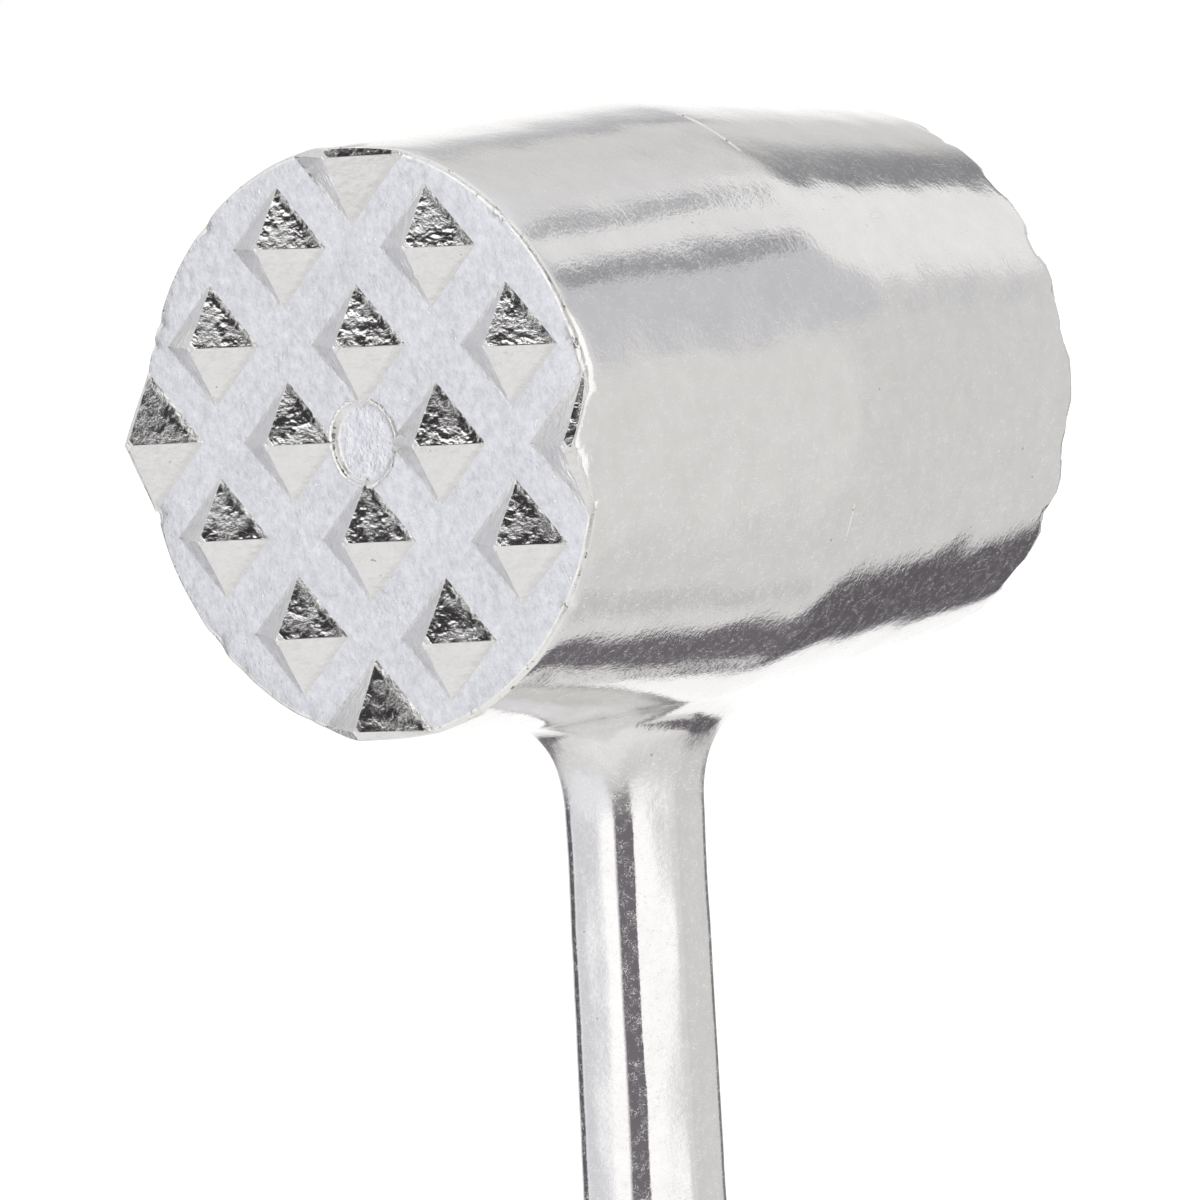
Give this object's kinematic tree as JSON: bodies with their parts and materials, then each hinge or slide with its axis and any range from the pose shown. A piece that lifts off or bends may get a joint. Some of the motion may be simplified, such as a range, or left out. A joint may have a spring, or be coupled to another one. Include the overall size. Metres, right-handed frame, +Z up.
{
  "type": "meat mallet",
  "caption": "Cast aluminium meat mallet: a round head with a coarse and a fine toothed face, on a slender shank, a flat grip and a hanging hole.",
  "frame": {"origin": "centre of the hanging hole at the end of the handle, on the casting's parting plane", "axes": "+Z up along the handle towards the head, +Y along the head's axis from the coarse face to the fine face, so the coarse face looks along -Y, and +X to the right of someone who faces the coarse face"},
  "size_m": [0.0522, 0.0689, 0.2371],
  "materials": {
    "polished_casting": "tumbled and polished die-cast aluminium, bright, with a fine orange-peel and brushed texture",
    "cast_teeth": "as-cast aluminium, brighter on the tooth flanks and matte on the ground between them"
  },
  "bodies": {
    "root": {"front_barrel": "polished_casting", "rear_barrel": "polished_casting", "parting_line": "polished_casting", "coarse_teeth": "cast_teeth", "fine_teeth": "cast_teeth", "ejector_mark": "cast_teeth", "neck": "polished_casting", "shank": "polished_casting", "shoulder": "polished_casting", "grip": "polished_casting", "hanging_eye": "polished_casting"}
  },
  "joints": []
}
